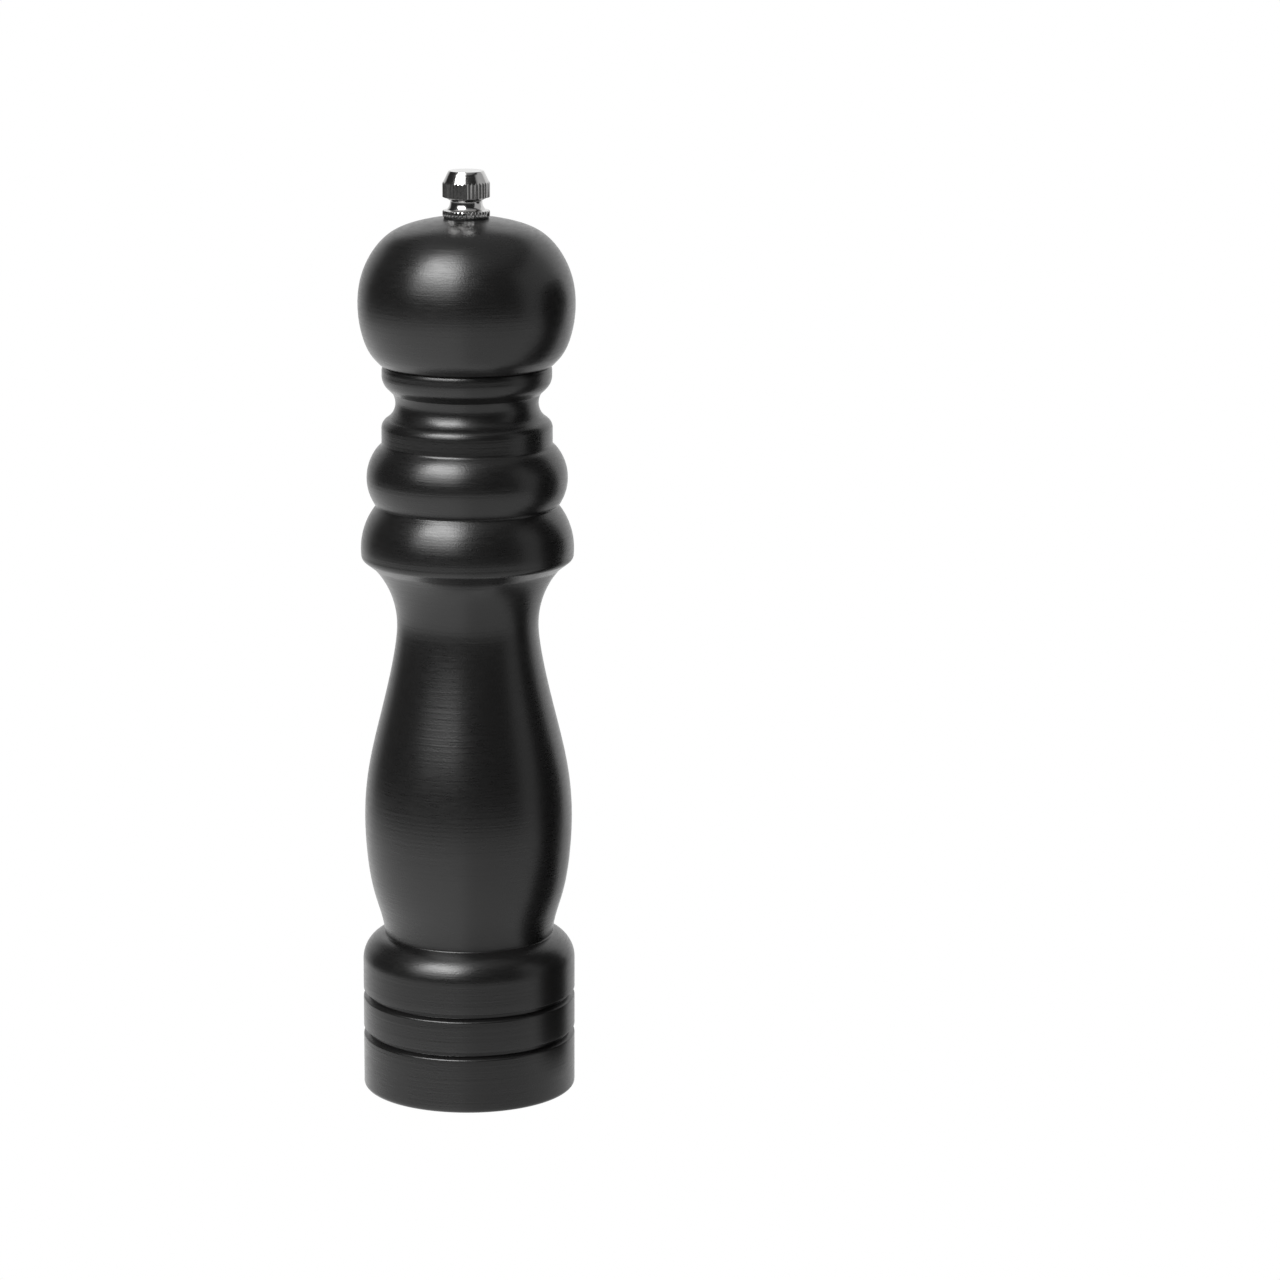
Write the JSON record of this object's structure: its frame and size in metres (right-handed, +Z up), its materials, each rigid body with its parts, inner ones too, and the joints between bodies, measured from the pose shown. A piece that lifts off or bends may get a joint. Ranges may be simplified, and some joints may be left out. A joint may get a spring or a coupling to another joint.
{
  "type": "pepper mill",
  "caption": "Tall turned wooden pepper mill in satin black, with a ball head that turns to grind and a knurled steel nut on top that sets the grind.",
  "frame": {"origin": "centre of the foot, on the surface that the mill stands on", "axes": "+Z up along the turning axis; +X and +Y are free, because the outside is round"},
  "size_m": [0.0602, 0.0602, 0.2611],
  "materials": {
    "black_lacquer": "satin black lacquer over turned beech",
    "polished_steel": "polished stainless steel, straight knurl",
    "black_fibre": "black fibre washer",
    "brass": "turned brass",
    "steel_plate": "stamped stainless steel",
    "zinc_screw": "bright zinc plated",
    "shaft_aluminium": "drawn aluminium bar",
    "black_nylon": "moulded black nylon",
    "bridge_zinc": "cast and tumbled metal",
    "white_ceramic": "unglazed technical ceramic",
    "white_nylon": "natural nylon",
    "spring_steel": "stainless spring wire"
  },
  "bodies": {
    "mill_body": {"body": "black_lacquer", "mechanism_housing": "black_nylon", "bridge": "bridge_zinc", "base_plate": "steel_plate", "housing_screws": "zinc_screw", "stator_burr": "white_ceramic"},
    "drive": {"shaft_bush": "white_nylon", "bush_clip": "spring_steel", "thrust_washer": "spring_steel", "spring": "spring_steel"},
    "head_unit": {"head": "black_lacquer", "head_bush": "brass", "drive_plate": "steel_plate", "drive_plate_screws": "zinc_screw"},
    "nut_carrier": {"nut_washer": "black_fibre"},
    "nut": {"finial_nut": "polished_steel"},
    "spindle": {"shaft": "shaft_aluminium", "rotor_burr": "white_ceramic", "rotor_carrier": "black_nylon", "rotor_washer": "zinc_screw", "rotor_screw": "zinc_screw", "spring_cup": "spring_steel"}
  },
  "joints": [
    {"name": "head_turn", "type": "hinge", "parent": "mill_body", "child": "drive", "pos_m": [0, 0, 0.038], "axis": [0, 0, 1], "continuous": true},
    {"name": "head_lift", "type": "slide", "parent": "drive", "child": "head_unit", "axis": [0, 0, 1], "range_m": [0, 0.075]},
    {"name": "nut_lift", "type": "slide", "parent": "head_unit", "child": "nut_carrier", "axis": [0, 0, 1], "range_m": [0, 0.022]},
    {"name": "nut_turn", "type": "hinge", "parent": "nut_carrier", "child": "nut", "pos_m": [0, 0, 0.2486], "axis": [0, 0, 1], "range_deg": [-270, 540]},
    {"name": "grind_adjust", "type": "slide", "parent": "drive", "child": "spindle", "axis": [0, 0, 1], "range_m": [-0.0012, 0.0006], "deforming": ["spring"]}
  ],
  "couplings": [
    {"joint": "nut_turn", "follows": "grind_adjust", "rad_per_m": -7854}
  ]
}
